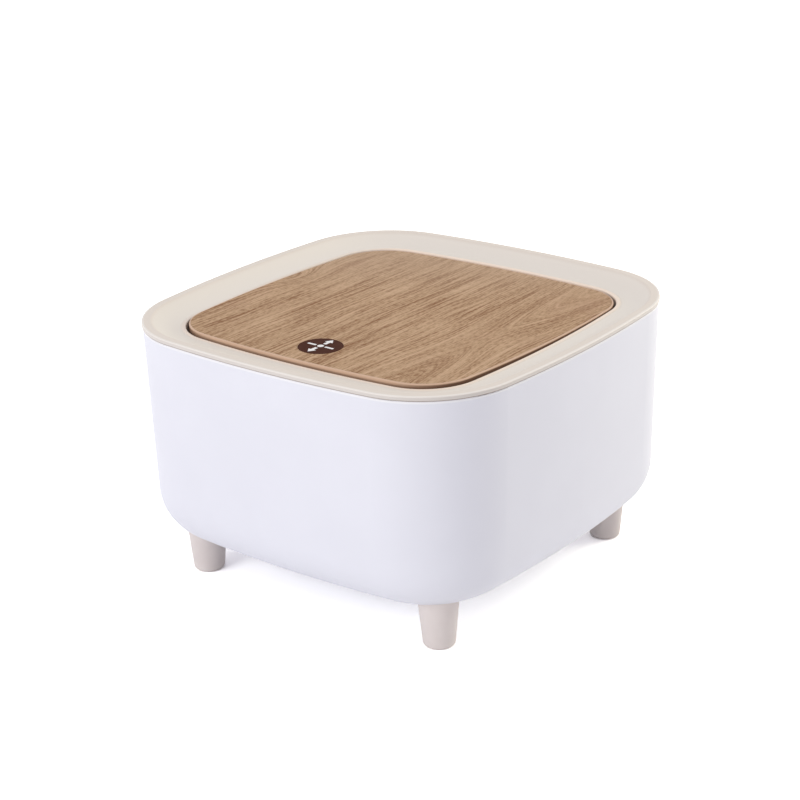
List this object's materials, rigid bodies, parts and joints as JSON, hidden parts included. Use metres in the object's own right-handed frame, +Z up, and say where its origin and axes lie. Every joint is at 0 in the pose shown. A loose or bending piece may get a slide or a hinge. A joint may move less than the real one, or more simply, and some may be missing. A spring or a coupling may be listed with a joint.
{
  "type": "countertop bin",
  "caption": "Low square countertop bin on short legs, with a lift-off dished ring and a wood-grain push-top lid that swings both ways on side pivots.",
  "frame": {"origin": "on the worktop, under the middle of the tub (bottom centre of the bounding box)", "axes": "+Z up; -Y is the front, the side of the lid that carries the badge; +X to the right seen from the front"},
  "size_m": [0.2, 0.2, 0.1244],
  "materials": {
    "tub": "satin lilac-white moulding",
    "legs": "satin greige moulding",
    "ring": "semi-gloss cream moulding",
    "lid_plastic": "satin tan moulding",
    "wood_grain": "matt oak-grain panel",
    "badge": "dark brown disc with white arrows",
    "steel": "zinc-plated steel",
    "seal_rubber": "black rubber"
  },
  "bodies": {
    "tub_body": {"tub": "tub", "leg_front_left": "legs", "leg_front_right": "legs", "leg_rear_left": "legs", "leg_rear_right": "legs", "leg_screws": "steel", "leg_screw_seals": "seal_rubber"},
    "ring_body": {"top_ring": "ring", "bearing_cap_left": "ring", "bearing_cap_right": "ring", "bearing_cap_screws": "steel"},
    "lid_body": {"lid_shell": "lid_plastic", "lid_panel": "wood_grain", "badge": "badge", "lid_cover": "lid_plastic", "counterweight": "steel", "lid_screws": "steel", "pivot_pin_left": "steel", "pivot_pin_right": "steel"}
  },
  "joints": [
    {"name": "ring_lift", "type": "slide", "parent": "tub_body", "child": "ring_body", "axis": [0, 0, 1], "range_m": [0, 0.1]},
    {"name": "lid_swing", "type": "hinge", "parent": "ring_body", "child": "lid_body", "pos_m": [0, 0, 0.116], "axis": [1, 0, 0], "range_deg": [-79.3, 80.7]}
  ]
}
